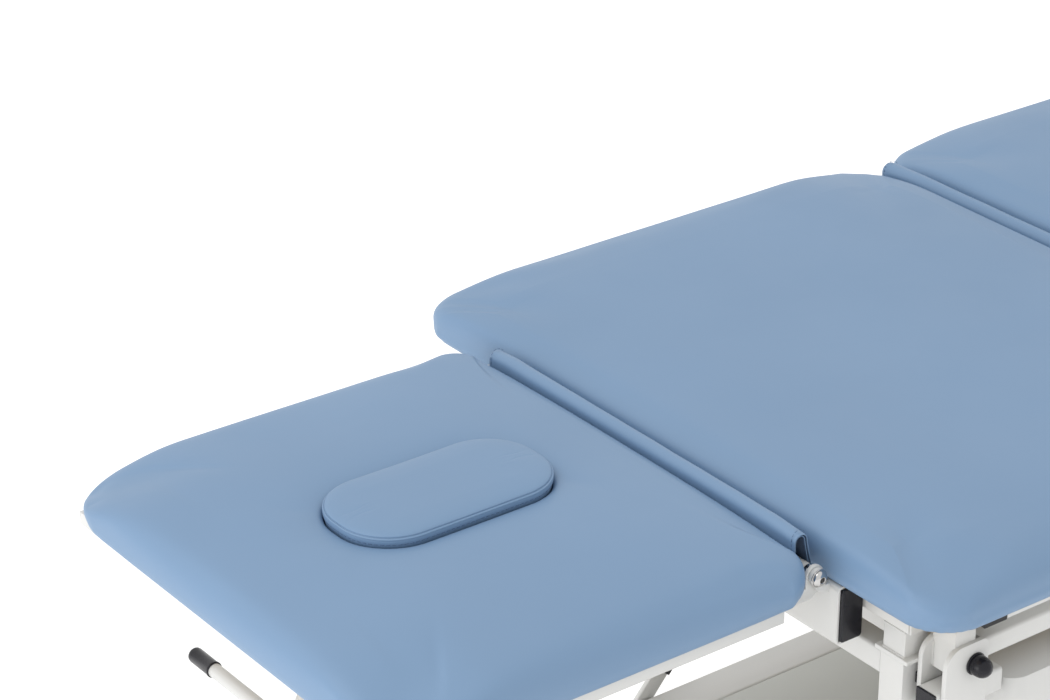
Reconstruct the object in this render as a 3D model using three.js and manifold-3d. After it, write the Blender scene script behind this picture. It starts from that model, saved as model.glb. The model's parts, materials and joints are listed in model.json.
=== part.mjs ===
// Three-section medical exam table with a scissor-free parallelogram lift.
// Millimetres, +Z up. The floor is z = 0, +X runs from the head end to the foot end,
// and +Y is the left side seen from the head end.

import * as THREE from 'three';
import { mergeVertices } from 'three/addons/utils/BufferGeometryUtils.js';
import Module from 'manifold-3d';

const wasm = await Module();
wasm.setup();

// ---------------------------------------------------------------- driving dimensions

const TOP_HEIGHT = 630;          // floor to the top of the cushions at rest
const HEAD_HINGE_X = -515;       // head hinge line, from the middle of the table's length
const GAP = 0.3;                 // air left between pieces that touch
const SIDES = [['left', 1], ['right', -1]];

const PAD = 44.5;                // cushion and board together
const BOARD = 12;                // plywood under each cushion
const BOARD_INSET = 8;           // how far the cushion wraps past the board
const PAD_CORNER = 47;           // plan radius of the cushion corners
const PAD_ROUND = 14;            // radius of the cushion edges
const PAD_WIDTH = 760;
const HEAD_PAD = { x: [-457, -12], width: 527 };
const MIDDLE_PAD = { x: [12, 606], width: PAD_WIDTH };
const FOOT_PAD = { x: [630, 1487], width: PAD_WIDTH };
const UNDER_PAD = -PAD - GAP;    // where the steel under a board begins

const FACE_HOLE = { x: -222, y: 5, length: 216, width: 116, corner: 52 };
const PLUG = { length: 212, width: 112, corner: 50, top: 17, bottom: -44 };

const HEAD_PIVOT = [0, -35];     // x and z of the head section's pivot
const FOOT_PIVOT = [618, -16];   // x and z of the foot section's pivot
const HEAD_BOLT = 5;             // radius
const HEAD_BOLT_HOLE = 5.5;
const FOOT_PIN = 4;
const FOOT_PIN_HOLE = 4.5;

const ARM = { depth: 50, y: [298, 324] };
const ARM_PIN = 12;              // radius of a lift arm's pivot pin
const ARM_HOLE = 12.7;
const FRONT_ARM = { top: [230, 440], foot: [682, 110] };
const REAR_ARM = { top: [560, 440], foot: [1012, 110] };

const BEAM = { x: [128, 930], y: [292, 352], z: [-231, -136], wall: 3, corner: 25 };
const SUPPORT_STRIP = { x: [103, 588], y: [322, 369], z: [-51.5, UNDER_PAD] };
const BASE = { x: [-60, 1100], y: [281, 331], top: 70, bottom: 20 };

const PEDAL = { x: 264, z: 45, slope: 49 * Math.PI / 180 };
const LIFT_ACTUATOR = { from: [510, 108], to: [674, 315] };
const HEAD_SPRING = { y: 60, from: [100, -205], to: [-90, -86] };
const FOOT_SPRING = { y: -60, from: [600, -145], to: [745, -89] };

// ---------------------------------------------------------------- materials

const WHITE = { color: 0xe4e4e0, roughness: 0.42, metalness: 0.0 };
const VINYL = { color: 0x88a1be, roughness: 0.5, metalness: 0.0 };
const BLACK = { color: 0x23232a, roughness: 0.6, metalness: 0.0 };
const CHROME = { color: 0xd8d8dc, roughness: 0.15, metalness: 1.0 };
const PLYWOOD = { color: 0xb8946a, roughness: 0.7, metalness: 0.0 };
const GREY = { color: 0x8d9092, roughness: 0.55, metalness: 0.0 };

// ---------------------------------------------------------------- solids

// Shared vertices merged, and the slivers left by points that coincide dropped.
function weld(geometry) {
  const bare = geometry.clone();
  bare.deleteAttribute('normal');
  bare.deleteAttribute('uv');
  const merged = mergeVertices(bare, 1e-4);
  const corners = merged.index.array;
  const kept = [];
  for (let i = 0; i < corners.length; i += 3) {
    const [a, b, c] = corners.slice(i, i + 3);
    if (a !== b && b !== c && c !== a) kept.push(a, b, c);
  }
  merged.setIndex(kept);
  return merged;
}

function toSolid(geometry) {
  const welded = weld(geometry);
  return new wasm.Manifold(new wasm.Mesh({
    numProp: 3,
    vertProperties: new Float32Array(welded.attributes.position.array),
    triVerts: new Uint32Array(welded.index.array),
  }));
}

function toGeometry(solid) {
  const mesh = solid.getMesh();
  const geometry = new THREE.BufferGeometry();
  geometry.setAttribute('position', new THREE.BufferAttribute(mesh.vertProperties, 3));
  geometry.setIndex(new THREE.BufferAttribute(mesh.triVerts, 1));
  return geometry;
}

function join(...geometries) {
  return toGeometry(geometries.map(toSolid).reduce((a, b) => a.add(b)));
}

function cut(body, ...tools) {
  return toGeometry(tools.map(toSolid).reduce((a, b) => a.subtract(b), toSolid(body)));
}

function block([x0, x1], [y0, y1], [z0, z1]) {
  const geometry = new THREE.BoxGeometry(x1 - x0, y1 - y0, z1 - z0);
  return geometry.translate((x0 + x1) / 2, (y0 + y1) / 2, (z0 + z1) / 2);
}

function roundedRect([x0, x1], [y0, y1], radius, Outline = THREE.Shape) {
  const outline = new Outline();
  outline.moveTo(x0 + radius, y0);
  outline.lineTo(x1 - radius, y0);
  outline.absarc(x1 - radius, y0 + radius, radius, -Math.PI / 2, 0);
  outline.lineTo(x1, y1 - radius);
  outline.absarc(x1 - radius, y1 - radius, radius, 0, Math.PI / 2);
  outline.lineTo(x0 + radius, y1);
  outline.absarc(x0 + radius, y1 - radius, radius, Math.PI / 2, Math.PI);
  outline.lineTo(x0, y0 + radius);
  outline.absarc(x0 + radius, y0 + radius, radius, Math.PI, Math.PI * 1.5);
  return outline;
}

function circleHole([x, y], radius) {
  const hole = new THREE.Path();
  hole.absarc(x, y, radius, 0, Math.PI * 2, true);
  return hole;
}

function polygon(points, clockwise) {
  const kept = points.filter((point, i) => point.distanceTo(points[(i + 1) % points.length]) > 1e-4);
  return THREE.ShapeUtils.isClockWise(kept) === clockwise ? kept : kept.reverse();
}

// The outline as straight steps: counter-clockwise, with clockwise holes and no doubled points.
function stepped(outline, curveSegments) {
  const { shape, holes } = outline.extractPoints(curveSegments);
  const result = new THREE.Shape(polygon(shape, false));
  result.holes = holes.map((hole) => new THREE.Path(polygon(hole, true)));
  return result;
}

function extrude(outline, depth, curveSegments) {
  return new THREE.ExtrudeGeometry(stepped(outline, curveSegments), { depth, bevelEnabled: false });
}

// A flat outline in plan, raised from z0 to z1.
function slab(outline, [z0, z1], curveSegments = 4) {
  return extrude(outline, z1 - z0, curveSegments).translate(0, 0, z0);
}

// An outline drawn in X and Z, extruded across the table from y0 to y1.
function acrossY(outline, [y0, y1], curveSegments = 5) {
  return extrude(outline, y1 - y0, curveSegments).rotateX(Math.PI / 2).translate(0, y1, 0);
}

// An outline drawn in Y and Z, extruded along the table from x0 to x1.
function alongX(outline, [x0, x1], curveSegments = 2) {
  const turn = new THREE.Matrix4().makeBasis(
    new THREE.Vector3(0, 1, 0), new THREE.Vector3(0, 0, 1), new THREE.Vector3(1, 0, 0));
  return extrude(outline, x1 - x0, curveSegments).applyMatrix4(turn).translate(x0, 0, 0);
}

// A rectangular tube's section: rounded outside, square inside.
function tubeOutline([u0, u1], [v0, v1], wall, radius) {
  const outline = roundedRect([u0, u1], [v0, v1], radius);
  const inside = [[u0 + wall, v0 + wall], [u0 + wall, v1 - wall], [u1 - wall, v1 - wall], [u1 - wall, v0 + wall]];
  outline.holes.push(new THREE.Path(inside.map(([u, v]) => new THREE.Vector2(u, v))));
  return outline;
}

function tubeAcrossY(x, z, wall, radius, y) {
  return acrossY(tubeOutline(x, z, wall, radius), y, 2);
}

function rodAcrossY([x, z], radius, [y0, y1], segments = 16) {
  const geometry = new THREE.CylinderGeometry(radius, radius, y1 - y0, segments);
  return geometry.translate(x, (y0 + y1) / 2, z);
}

function span(side, inner, outer) {
  return side > 0 ? [inner, outer] : [-outer, -inner];
}

const upper = new THREE.Group();   // drawn from the head hinge line and the cushions' top surface
upper.position.set(HEAD_HINGE_X, 0, TOP_HEIGHT);
const lower = new THREE.Group();   // drawn from the head hinge line and the floor
lower.position.set(HEAD_HINGE_X, 0, 0);

function add(group, name, geometry, finish) {
  const mesh = new THREE.Mesh(weld(geometry), new THREE.MeshStandardMaterial(finish));
  mesh.name = name;
  group.add(mesh);
  return mesh;
}

// ---------------------------------------------------------------- cushions and boards

function padOutline({ x, width }, inset = 0) {
  return roundedRect([x[0] + inset, x[1] - inset], [-width / 2 + inset, width / 2 - inset], PAD_CORNER - inset);
}

function padBlank(pad) {
  const geometry = new THREE.ExtrudeGeometry(stepped(padOutline(pad, PAD_ROUND), 4), {
    depth: PAD - 2 * PAD_ROUND,
    bevelThickness: PAD_ROUND,
    bevelSize: PAD_ROUND,
    bevelSegments: 3,
  });
  return geometry.translate(0, 0, -PAD + PAD_ROUND);
}

function cushion(pad, ...holes) {
  const pocket = slab(padOutline(pad, BOARD_INSET - GAP), [-PAD - 1, -PAD + BOARD + GAP]);
  return cut(padBlank(pad), pocket, ...holes);
}

function board(pad, ...holes) {
  const plate = slab(padOutline(pad, BOARD_INSET), [-PAD, -PAD + BOARD]);
  return holes.length ? cut(plate, ...holes) : plate;
}

function faceOutline({ length, width, corner }) {
  const { x, y } = FACE_HOLE;
  return roundedRect([x - length / 2, x + length / 2], [y - width / 2, y + width / 2], corner);
}

const faceHole = slab(faceOutline(FACE_HOLE), [-PAD - 2, 5], 6);

add(upper, 'head_board', board(HEAD_PAD, faceHole), PLYWOOD);
add(upper, 'head_cushion', cushion(HEAD_PAD, faceHole), VINYL);
add(upper, 'middle_board', board(MIDDLE_PAD), PLYWOOD);
add(upper, 'middle_cushion', cushion(MIDDLE_PAD), VINYL);
add(upper, 'foot_board', board(FOOT_PAD), PLYWOOD);
add(upper, 'foot_cushion', cushion(FOOT_PAD), VINYL);
add(upper, 'face_hole_plug', slab(faceOutline(PLUG), [PLUG.bottom, PLUG.top], 6), VINYL);

// ---------------------------------------------------------------- folded hinge flaps

// A strip of vinyl folded over the gap between two sections, open below.
function foldedFlap([x0, x1], [bottom, top], halfWidth) {
  const wall = 3;
  const outer = (x1 - x0) / 2;
  const middle = (x0 + x1) / 2;
  const outline = new THREE.Shape();
  outline.moveTo(x0, bottom);
  outline.lineTo(x0, top - outer);
  outline.absarc(middle, top - outer, outer, Math.PI, 0, true);
  outline.lineTo(x1, bottom);
  outline.lineTo(x1 - wall, bottom);
  outline.lineTo(x1 - wall, top - outer);
  outline.absarc(middle, top - outer, outer - wall, 0, Math.PI, false);
  outline.lineTo(x0 + wall, bottom);
  return acrossY(outline, [-halfWidth, halfWidth], 5);
}

add(upper, 'head_hinge_flap', foldedFlap([-11, 11], [-41, -1], 224), VINYL);
add(upper, 'foot_hinge_flap', foldedFlap([607.5, 628.5], [-43, -1], 316), VINYL);

// ---------------------------------------------------------------- top frame

const HINGE_TUBE = { x: [13.2, 42], z: [-102, UNDER_PAD], halfWidth: 255 };
const FOOT_TUBE = { x: [590, 627], z: [-72, UNDER_PAD], halfWidth: 330 };
const HEAD_LUG_Y = [239, 243];
const HEAD_EAR_Y = [234.6, 238.6];
const HEAD_LUG_RADIUS = 8.5;

// A lug that carries a pivot at its rounded end and stands on the steel behind it.
function headLug(side) {
  const [px, pz] = HEAD_PIVOT;
  const outline = new THREE.Shape();
  outline.moveTo(HINGE_TUBE.x[0] + 1, -54);
  outline.lineTo(px, -48);
  outline.lineTo(px - HEAD_LUG_RADIUS, pz);
  outline.absarc(px, pz, HEAD_LUG_RADIUS, Math.PI, 0, true);
  outline.lineTo(HEAD_LUG_RADIUS, UNDER_PAD);
  outline.lineTo(HINGE_TUBE.x[0] + 1, UNDER_PAD);
  outline.holes.push(circleHole(HEAD_PIVOT, HEAD_BOLT_HOLE));
  return acrossY(outline, span(side, ...HEAD_LUG_Y));
}

function hingeCrossTube() {
  const { x, z, halfWidth } = HINGE_TUBE;
  const tube = tubeAcrossY(x, z, 2.5, 5, [-halfWidth, halfWidth]);
  return join(tube, headLug(1), headLug(-1));
}

add(upper, 'hinge_cross_tube', hingeCrossTube(), WHITE);
for (const [name, side] of SIDES) {
  const cap = acrossY(roundedRect([15.4, 39.8], [-99.6, -47], 3.5), span(side, 255.3, 258.3));
  add(upper, `hinge_tube_cap_${name}`, cap, BLACK);
}

// The bolt's head, shank and nut turn about the pivot line.
function pivotBolt(side) {
  const profile = [[0, 229], [8, 229], [8, 234.2], [HEAD_BOLT, 234.2], [HEAD_BOLT, 243.4], [8.6, 243.4],
    [8.6, 244.6], [7.6, 246.8], [5.2, 248.4], [3.4, 248.8], [3.2, 247], [0, 247]];
  const geometry = new THREE.LatheGeometry(profile.map(([r, y]) => new THREE.Vector2(r, y)), 18);
  geometry.translate(HEAD_PIVOT[0], 0, HEAD_PIVOT[1]);
  return side > 0 ? geometry : geometry.translate(-HEAD_PIVOT[0], 0, -HEAD_PIVOT[1])
    .rotateX(Math.PI).translate(HEAD_PIVOT[0], 0, HEAD_PIVOT[1]);
}

for (const [name, side] of SIDES) {
  add(upper, `head_pivot_bolt_${name}`, pivotBolt(side), CHROME);
}

const FRONT_TUBE = { x: [43, 73], z: [-75, UNDER_PAD] };
const LOWER_TUBE = { x: [43, 68], z: [-129, -104.3] };

add(upper, 'front_cross_tube', tubeAcrossY(FRONT_TUBE.x, FRONT_TUBE.z, 2.5, 3, [-312, 312]), WHITE);
add(upper, 'lower_cross_tube', tubeAcrossY(LOWER_TUBE.x, LOWER_TUBE.z, 2.5, 3.2, [-279.7, 279.7]), WHITE);

// Square post hung from the front cross tube by a flange plate.
function cornerPost(side) {
  const stub = block([44, 71], span(side, 281, 308), [-101, FRONT_TUBE.z[0] - GAP]);
  const flange = block([41, 95], span(side, 274, 314.7), [-104, -100]);
  const post = block([42.5, 72], span(side, 280, 309), [-172, -103]);
  const bore = block([45.5, 69], span(side, 283, 306), [-173, -106]);
  return cut(join(stub, flange, post), bore);
}

// Two cheek plates with a rounded lug between them and a short square tube below it.
const CHEEK = { x: [54, 103], z: [-150, -79], outer: [345, 350], inner: [315, 320] };

function clevisBracket(side) {
  const cheek = new THREE.Shape();
  const [x0, x1] = CHEEK.x;
  const [z0, z1] = CHEEK.z;
  cheek.moveTo(x0, z0);
  cheek.lineTo(x0, z1 - 18);
  cheek.absarc(x0 + 18, z1 - 18, 18, Math.PI, Math.PI / 2, true);
  cheek.lineTo(x1 - 5, z1);
  cheek.lineTo(x1, z1 - 5);
  cheek.lineTo(x1, z0);
  const lug = new THREE.Shape();
  lug.moveTo(66, -109);
  lug.lineTo(66, -70);
  lug.absarc(78, -70, 12, Math.PI, 0, true);
  lug.lineTo(90, -109);
  const tube = alongX(tubeOutline(span(side, 320.5, 344.5), [-146, -122], 2.5, 3.2), [50, BEAM.x[0] - GAP]);
  const seat = block([56, 101], span(side, 319, 346), [-150, -145]);
  return join(
    acrossY(cheek, span(side, ...CHEEK.outer)), acrossY(cheek, span(side, ...CHEEK.inner)),
    acrossY(lug, span(side, 319, 346)), tube, seat);
}

function pivotCap(side) {
  const profile = [[0, 350.3], [10.6, 350.3], [10.6, 352], [10, 352.6], [9.8, 360.4], [8, 365], [4.4, 367.6], [0, 368.4]];
  const geometry = new THREE.LatheGeometry(profile.map(([r, y]) => new THREE.Vector2(r, y)), 18);
  if (side < 0) geometry.rotateX(Math.PI);
  return geometry.translate(87.5, 0, -100);
}

// Upper side rail, the support strip under the middle cushion and the web between them.
function sideRail(side) {
  const rail = alongX(tubeOutline(span(side, 321, 344), [-105, -85], 2.5, 3.2), [103.4, 930]);
  const { x, y, z } = SUPPORT_STRIP;
  const strip = block(x, span(side, ...y), z);
  const web = block([x[0] + 17, x[1]], span(side, y[0], y[0] + 5), [-86, z[0] + 1]);
  const saddle = block([594, 624], span(side, 321.5, 329), [-86, FOOT_TUBE.z[0] - GAP]);
  const posts = [230, 560, 880].map((px) => block([px, px + 30], span(side, 322, 343), [BEAM.z[1] + GAP, -104]));
  return join(rail, strip, web, saddle, ...posts);
}

// Side beam: a pressing open below, with the lift arms' upper pivot pins across it.
function mainBeam(side) {
  const { x, y, z, wall, corner } = BEAM;
  const shell = slab(roundedRect(x, span(side, ...y), corner), z);
  const hollow = slab(roundedRect(
    [x[0] + wall, x[1] - wall], span(side, y[0] + wall, y[1] - wall), corner - wall), [z[0] - 1, z[1] - wall]);
  const pins = [FRONT_ARM.top, REAR_ARM.top].map(([px, pz]) => (
    rodAcrossY([px, pz - TOP_HEIGHT], ARM_PIN, span(side, y[0] + 1, y[1] - 1))));
  return join(cut(shell, hollow), ...pins);
}

for (const [name, side] of SIDES) {
  add(upper, `corner_post_${name}`, cornerPost(side), WHITE);
  add(upper, `clevis_bracket_${name}`, clevisBracket(side), WHITE);
  add(upper, `pivot_cap_${name}`, pivotCap(side), BLACK);
  add(upper, `side_rail_${name}`, sideRail(side), WHITE);
  add(upper, `main_beam_${name}`, mainBeam(side), WHITE);
}

// Cross members between the side beams; two of them carry a gas spring's fixed bracket.
function crossMember(x, brackets) {
  const reach = BEAM.y[0] - GAP;
  const tube = tubeAcrossY([x, x + 30], [-200, -170], 2.5, 3, [-reach, reach]);
  return brackets.length ? join(tube, ...brackets) : tube;
}

// Two lugs either side of a spring's eye, from the steel at x out to its pivot, with the pin across.
function springLugs([px, pz], y, [fromX, toX], [z0, z1]) {
  const reach = Math.sign(px - fromX) * 11;
  const outline = new THREE.Shape();
  outline.moveTo(fromX, z0);
  outline.lineTo(px + reach * 0.4, Math.min(z0, pz - 10));
  outline.lineTo(px + reach, pz);
  outline.lineTo(px + reach * 0.4, Math.max(z1, pz + 10));
  outline.lineTo(toX, z1);
  const lugs = [-15, 11].map((dy) => acrossY(outline, [y + dy, y + dy + 4]));
  return [...lugs, rodAcrossY([px, pz], 4, [y - 13, y + 13], 16)];
}

add(upper, 'front_cross_member', crossMember(165,
  springLugs(HEAD_SPRING.from, HEAD_SPRING.y, [168, 168], [-199, -172])), WHITE);
add(upper, 'middle_cross_member', crossMember(505,
  springLugs(FOOT_SPRING.from, FOOT_SPRING.y, [532, 532], [-199, -172])), WHITE);

const FOOT_LUG_Y = [322, 328];
const FOOT_EAR_Y = [330.6, 336.6];
const FOOT_LUG_RADIUS = 7;

// Rear cross tube with the two standing lugs and pins that carry the foot section.
function footHingeTube() {
  const { x, z, halfWidth } = FOOT_TUBE;
  const [px, pz] = FOOT_PIVOT;
  const lugs = SIDES.map(([, side]) => acrossY(
    roundedRect([px - FOOT_LUG_RADIUS, px + FOOT_LUG_RADIUS], [-50, pz + FOOT_LUG_RADIUS], FOOT_LUG_RADIUS - 0.5),
    span(side, ...FOOT_LUG_Y)));
  const pins = SIDES.map(([, side]) => rodAcrossY([px, pz], FOOT_PIN, span(side, 323, 341)));
  return join(tubeAcrossY(x, z, 2.5, 4, [-halfWidth, halfWidth]), ...lugs, ...pins);
}

add(upper, 'foot_hinge_tube', footHingeTube(), WHITE);

// ---------------------------------------------------------------- head section frame

// Flat strip under the long edge of the board, with the ear that turns on the pivot bolt.
function headRail(side) {
  const [px, pz] = HEAD_PIVOT;
  const strip = block([-440, -48], span(side, 225, 255), [-57, UNDER_PAD]);
  const ear = new THREE.Shape();
  ear.moveTo(-70, -57);
  ear.lineTo(-70, UNDER_PAD);
  ear.lineTo(-10, UNDER_PAD);
  ear.lineTo(-10, pz);
  ear.absarc(px, pz, 10, Math.PI, 0, true);
  ear.lineTo(4, -52);
  ear.lineTo(-4, -57);
  ear.holes.push(circleHole(HEAD_PIVOT, HEAD_BOLT_HOLE));
  return join(strip, acrossY(ear, span(side, ...HEAD_EAR_Y)));
}

for (const [name, side] of SIDES) {
  add(upper, `head_rail_${name}`, headRail(side), WHITE);
}

// Cross bar that ties the rails near the hinge and takes the gas spring's moving end.
function headCrossBar() {
  const [qx, qz] = HEAD_SPRING.to;
  const bar = tubeAcrossY([-90, -62], [-72, UNDER_PAD], 2.5, 3, [-224.7, 224.7]);
  const lug = new THREE.Shape();
  lug.moveTo(-88, -60);
  lug.lineTo(qx - 10, qz);
  lug.absarc(qx, qz, 10, Math.PI, Math.PI * 1.75, false);
  lug.lineTo(-66, -62);
  const lugs = [-15, 11].map((dy) => acrossY(lug, [HEAD_SPRING.y + dy, HEAD_SPRING.y + dy + 4]));
  return join(bar, ...lugs);
}

// Flat bar across the head end of the frame, with the clevis that the release bar turns in.
const RELEASE = { pivot: [-340, -74], grip: [-383, -170], radius: 6.8, halfWidth: 160 };

function headEndBar() {
  const [px, pz] = RELEASE.pivot;
  const bar = block([px - 20, px + 8], [-224.7, 224.7], [-56, UNDER_PAD]);
  const lug = new THREE.Shape();
  lug.moveTo(px - 12, -55);
  lug.lineTo(px - 8, pz);
  lug.absarc(px, pz, 8, Math.PI, Math.PI * 2, false);
  lug.lineTo(px + 8, -55);
  const lugs = [-10, 6].map((dy) => acrossY(lug, [dy, dy + 4]));
  return join(bar, ...lugs, rodAcrossY(RELEASE.pivot, 3, [-8, 8], 16));
}

// T-shaped release bar: a round bar across the table on a flat stem.
function releaseBar({ pivot: [px, pz], grip: [gx, gz], radius, halfWidth }) {
  const stem = new THREE.Shape();
  const length = Math.hypot(gx - px, gz - pz);
  stem.moveTo(0, -7);
  stem.absarc(0, 0, 7, -Math.PI / 2, Math.PI / 2, true);
  stem.lineTo(length, 6);
  stem.lineTo(length, -6);
  stem.lineTo(0, -7);
  stem.holes.push(circleHole([0, 0], 3.6));
  const plate = acrossY(stem, [-5, 5]).rotateY(-Math.atan2(gz - pz, gx - px)).translate(px, 0, pz);
  return join(plate, rodAcrossY([gx, gz], radius, [-halfWidth, halfWidth]));
}

function gripCap(side) {
  const [gx, gz] = RELEASE.grip;
  const y = RELEASE.halfWidth;
  const profile = [[RELEASE.radius + GAP, y - 32], [7.6, y - 32], [7.9, y - 30], [7.9, y + 1.5], [6, y + 3.4],
    [0, y + 3.6], [0, y + GAP], [RELEASE.radius + GAP, y + GAP], [RELEASE.radius + GAP, y - 32]];
  const geometry = new THREE.LatheGeometry(profile.map(([r, v]) => new THREE.Vector2(r, v)), 18);
  if (side < 0) geometry.rotateX(Math.PI);
  return geometry.translate(gx, 0, gz);
}

add(upper, 'head_cross_bar', headCrossBar(), WHITE);
add(upper, 'head_end_bar', headEndBar(), WHITE);
add(upper, 'head_release_bar', releaseBar(RELEASE), WHITE);
for (const [name, side] of SIDES) {
  add(upper, `release_grip_${name}`, gripCap(side), BLACK);
}

// ---------------------------------------------------------------- foot section frame

// Rail under the foot board, with the cranked ear that turns on the hinge tube's pin.
function footRail(side) {
  const [px, pz] = FOOT_PIVOT;
  const strip = alongX(tubeOutline(span(side, 306, 336.6), [-70, UNDER_PAD], 2, 2.5), [640, 1400]);
  const ear = new THREE.Shape();
  ear.moveTo(px - FOOT_LUG_RADIUS, -60);
  ear.lineTo(px - FOOT_LUG_RADIUS, pz);
  ear.absarc(px, pz, FOOT_LUG_RADIUS, Math.PI, 0, true);
  ear.lineTo(px + FOOT_LUG_RADIUS, UNDER_PAD);
  ear.lineTo(690, UNDER_PAD);
  ear.lineTo(690, -60);
  ear.holes.push(circleHole(FOOT_PIVOT, FOOT_PIN_HOLE));
  return join(strip, acrossY(ear, span(side, ...FOOT_EAR_Y)));
}

for (const [name, side] of SIDES) {
  add(upper, `foot_rail_${name}`, footRail(side), WHITE);
}

// Cross bar with the lugs for the moving end of the foot section's gas spring.
function footCrossBar() {
  const [qx, qz] = FOOT_SPRING.to;
  const bar = tubeAcrossY([qx - 8, qx + 20], [-72, UNDER_PAD], 2.5, 3, [-305.7, 305.7]);
  const lug = new THREE.Shape();
  lug.moveTo(qx - 6, -60);
  lug.lineTo(qx - 10, qz);
  lug.absarc(qx, qz, 10, Math.PI, Math.PI * 2, false);
  lug.lineTo(qx + 16, -62);
  const lugs = [-15, 11].map((dy) => acrossY(lug, [FOOT_SPRING.y + dy, FOOT_SPRING.y + dy + 4]));
  return join(bar, ...lugs);
}

add(upper, 'foot_cross_bar', footCrossBar(), WHITE);

// ---------------------------------------------------------------- gas springs and lift actuator

// Both are drawn along +X from their fixed eye, then turned into place.
function eye(x, radius, bore, halfWidth) {
  const outline = new THREE.Shape();
  outline.absarc(x, 0, radius, 0, Math.PI * 2);
  if (bore) outline.holes.push(circleHole([x, 0], bore));
  return acrossY(outline, [-halfWidth, halfWidth], 8);
}

function lathedAlongX(profile, segments = 16) {
  const geometry = new THREE.LatheGeometry(profile.map(([x, r]) => new THREE.Vector2(r, x)), segments);
  return geometry.rotateZ(-Math.PI / 2);
}

function springCylinder({ body, radius, bore }) {
  const [start, end] = body;
  const shell = lathedAlongX([[start, 0], [start, radius], [end, radius], [end, bore], [start + 3, bore], [start + 3, 0]]);
  return join(eye(0, 9, 4.6, 5), block([6, start + 1], [-4, 4], [-5, 5]), shell);
}

function springRod({ rod, radius, length }) {
  return join(
    lathedAlongX([[rod, 0], [rod, radius], [length - 6, radius], [length - 6, 0]], 16),
    eye(length, 9, 0, 5));
}

function place(mesh, { from, to, y = 0 }) {
  mesh.position.set(from[0], y, from[1]);
  mesh.rotation.y = -Math.atan2(to[1] - from[1], to[0] - from[0]);
}

function reachOf({ from, to }) {
  return Math.hypot(to[0] - from[0], to[1] - from[1]);
}

const HEAD_CYLINDER = { body: [12, 140], radius: 9.5, bore: 6.5 };
const FOOT_CYLINDER = { body: [12, 138], radius: 9.5, bore: 6.5 };

place(add(upper, 'head_spring_cylinder', springCylinder(HEAD_CYLINDER), BLACK), HEAD_SPRING);
place(add(upper, 'head_spring_rod',
  springRod({ rod: 65, radius: 4.5, length: reachOf(HEAD_SPRING) }), CHROME), HEAD_SPRING);
place(add(upper, 'foot_spring_cylinder', springCylinder(FOOT_CYLINDER), BLACK), FOOT_SPRING);
place(add(upper, 'foot_spring_rod',
  springRod({ rod: 19, radius: 4.5, length: reachOf(FOOT_SPRING) }), CHROME), FOOT_SPRING);

// Actuator: a guide tube with its gearbox and motor beside it.
function actuatorHousing() {
  const tube = lathedAlongX([[22, 0], [22, 24], [168, 24], [168, 10.6], [30, 10.6], [30, 0]], 20);
  const gearbox = block([24, 92], [-30, 68], [-33, 33]);
  const motor = new THREE.CylinderGeometry(27, 27, 100, 20).rotateZ(Math.PI / 2).translate(132, 41 + 12, 0);
  const bore = lathedAlongX([[30, 0], [30, 10.6], [169, 10.6], [169, 0]], 20);
  return cut(join(eye(0, 15, 6.6, 8), block([8, 26], [-8, 8], [-14, 14]), tube, gearbox, motor), bore);
}

function actuatorRod(length) {
  return join(
    lathedAlongX([[length - 187, 0], [length - 187, 10], [length - 10, 10], [length - 10, 0]], 24),
    eye(length, 15, 0, 8));
}

place(add(lower, 'lift_actuator_housing', actuatorHousing(), BLACK), LIFT_ACTUATOR);
place(add(lower, 'lift_actuator_rod', actuatorRod(reachOf(LIFT_ACTUATOR)), CHROME), LIFT_ACTUATOR);

// ---------------------------------------------------------------- lift arms

function liftArm({ top, foot }, side) {
  const outline = new THREE.Shape();
  const half = ARM.depth / 2;
  const length = reachOf({ from: foot, to: top });
  outline.moveTo(0, -half);
  outline.absarc(0, 0, half, -Math.PI / 2, Math.PI / 2, true);
  outline.lineTo(length, half);
  outline.absarc(length, 0, half, Math.PI / 2, -Math.PI / 2, true);
  outline.holes.push(circleHole([0, 0], ARM_HOLE), circleHole([length, 0], ARM_HOLE));
  const geometry = acrossY(outline, span(side, ...ARM.y));
  return geometry.rotateY(-Math.atan2(top[1] - foot[1], top[0] - foot[0])).translate(foot[0], 0, foot[1]);
}

// Torque tube between a pair of arms, on the line of their lower pivots.
function torqueTube({ foot }) {
  const halfWidth = ARM.y[0] - GAP;
  const profile = [[17, -halfWidth], [21, -halfWidth], [21, halfWidth], [17, halfWidth], [17, -halfWidth]];
  const geometry = new THREE.LatheGeometry(profile.map(([r, y]) => new THREE.Vector2(r, y)), 20);
  return geometry.translate(foot[0], 0, foot[1]);
}

// Twin horn plates that the actuator pushes on.
function actuatorHorn() {
  const [qx, qz] = LIFT_ACTUATOR.to;
  const [px, pz] = FRONT_ARM.foot;
  const outline = new THREE.Shape();
  outline.moveTo(px - 18, pz + 14);
  outline.lineTo(qx - 13, qz);
  outline.absarc(qx, qz, 13, Math.PI, 0, true);
  outline.lineTo(px + 18, pz + 14);
  return [-18, 10].map((y) => acrossY(outline, [y, y + 8]));
}

for (const [name, side] of SIDES) {
  add(lower, `front_lift_arm_${name}`, liftArm(FRONT_ARM, side), WHITE);
  add(lower, `rear_lift_arm_${name}`, liftArm(REAR_ARM, side), WHITE);
}
add(lower, 'front_torque_tube', join(torqueTube(FRONT_ARM), ...actuatorHorn()), WHITE);
add(lower, 'rear_torque_tube', torqueTube(REAR_ARM), WHITE);

// ---------------------------------------------------------------- base

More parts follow.
